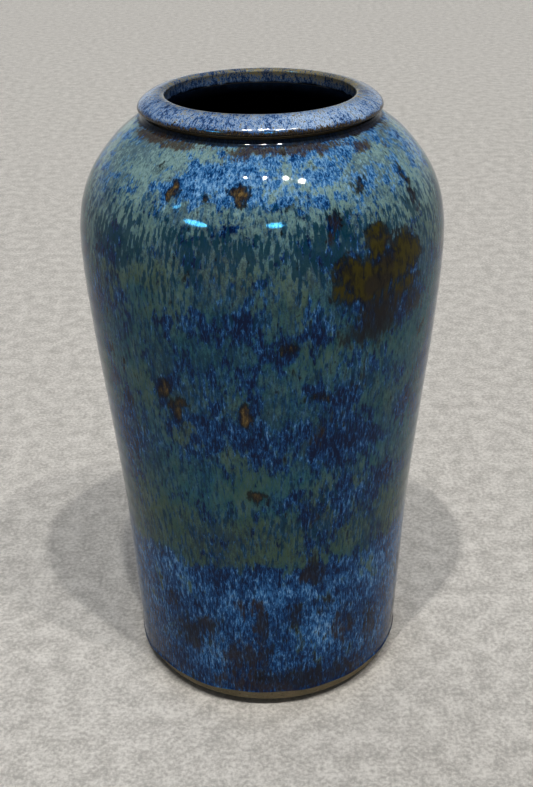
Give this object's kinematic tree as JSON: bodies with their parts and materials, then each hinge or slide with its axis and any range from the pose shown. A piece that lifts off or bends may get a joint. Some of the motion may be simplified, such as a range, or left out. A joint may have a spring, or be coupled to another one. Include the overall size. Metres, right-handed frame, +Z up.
{
  "type": "stoneware pottery vase",
  "caption": "Tall shouldered stoneware vase with a rolled rim, a wide mouth, streaked glaze and a bare turned foot.",
  "frame": {"origin": "centre of the circle on the table that the foot ring stands on", "axes": "+Z up along the axis the vase was turned about; +X and +Y are level, with -Y the side that faces the viewer"},
  "size_m": [0.1424, 0.1424, 0.25],
  "materials": {
    "bare_clay": "bare fired stoneware, warm tan, matt and slightly gritty",
    "outer_glaze": "glossy floating-blue glaze with olive-green drips, pale blue streaks and brown iron spots",
    "rim_glaze": "thin glossy blue-grey glaze that breaks brown at the edges of the roll",
    "liner_glaze": "glossy dark navy liner glaze"
  },
  "bodies": {
    "root": {"foot_ring": "bare_clay", "base_floor": "bare_clay", "body_wall": "bare_clay", "shoulder": "bare_clay", "neck": "bare_clay", "rim_roll": "bare_clay", "outer_glaze": "outer_glaze", "rim_glaze": "rim_glaze", "liner_glaze": "liner_glaze"}
  },
  "joints": []
}
